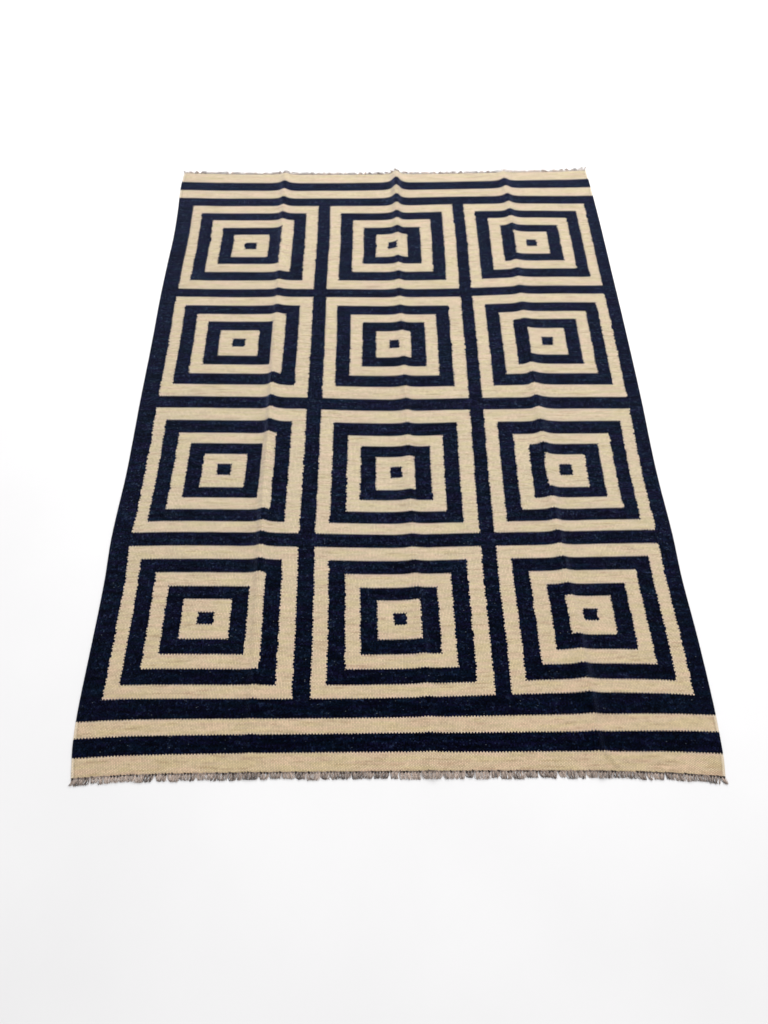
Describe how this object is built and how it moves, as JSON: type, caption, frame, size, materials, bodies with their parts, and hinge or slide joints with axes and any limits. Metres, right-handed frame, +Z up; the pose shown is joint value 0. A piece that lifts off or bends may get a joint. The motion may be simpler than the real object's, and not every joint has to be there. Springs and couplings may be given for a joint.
{
  "type": "kilim rug",
  "caption": "Flat-woven wool floor rug in navy and cream, with nested squares in a grid, striped end bands and a short knotted fringe at both ends.",
  "frame": {"origin": "the middle of the rug's outline, on the floor that it lies on", "axes": "+Z up from the floor, +Y along the rug towards the end that is farther away in the picture, +X to the right"},
  "size_m": [1.7285, 2.5559, 0.0302],
  "materials": {
    "woven_wool": "matt weft-faced flat weave, navy and cream",
    "warp_yarn": "matt grey-brown yarn"
  },
  "bodies": {
    "root": {"rug_cloth": "woven_wool", "fringe_near": "warp_yarn", "fringe_far": "warp_yarn"}
  },
  "joints": []
}
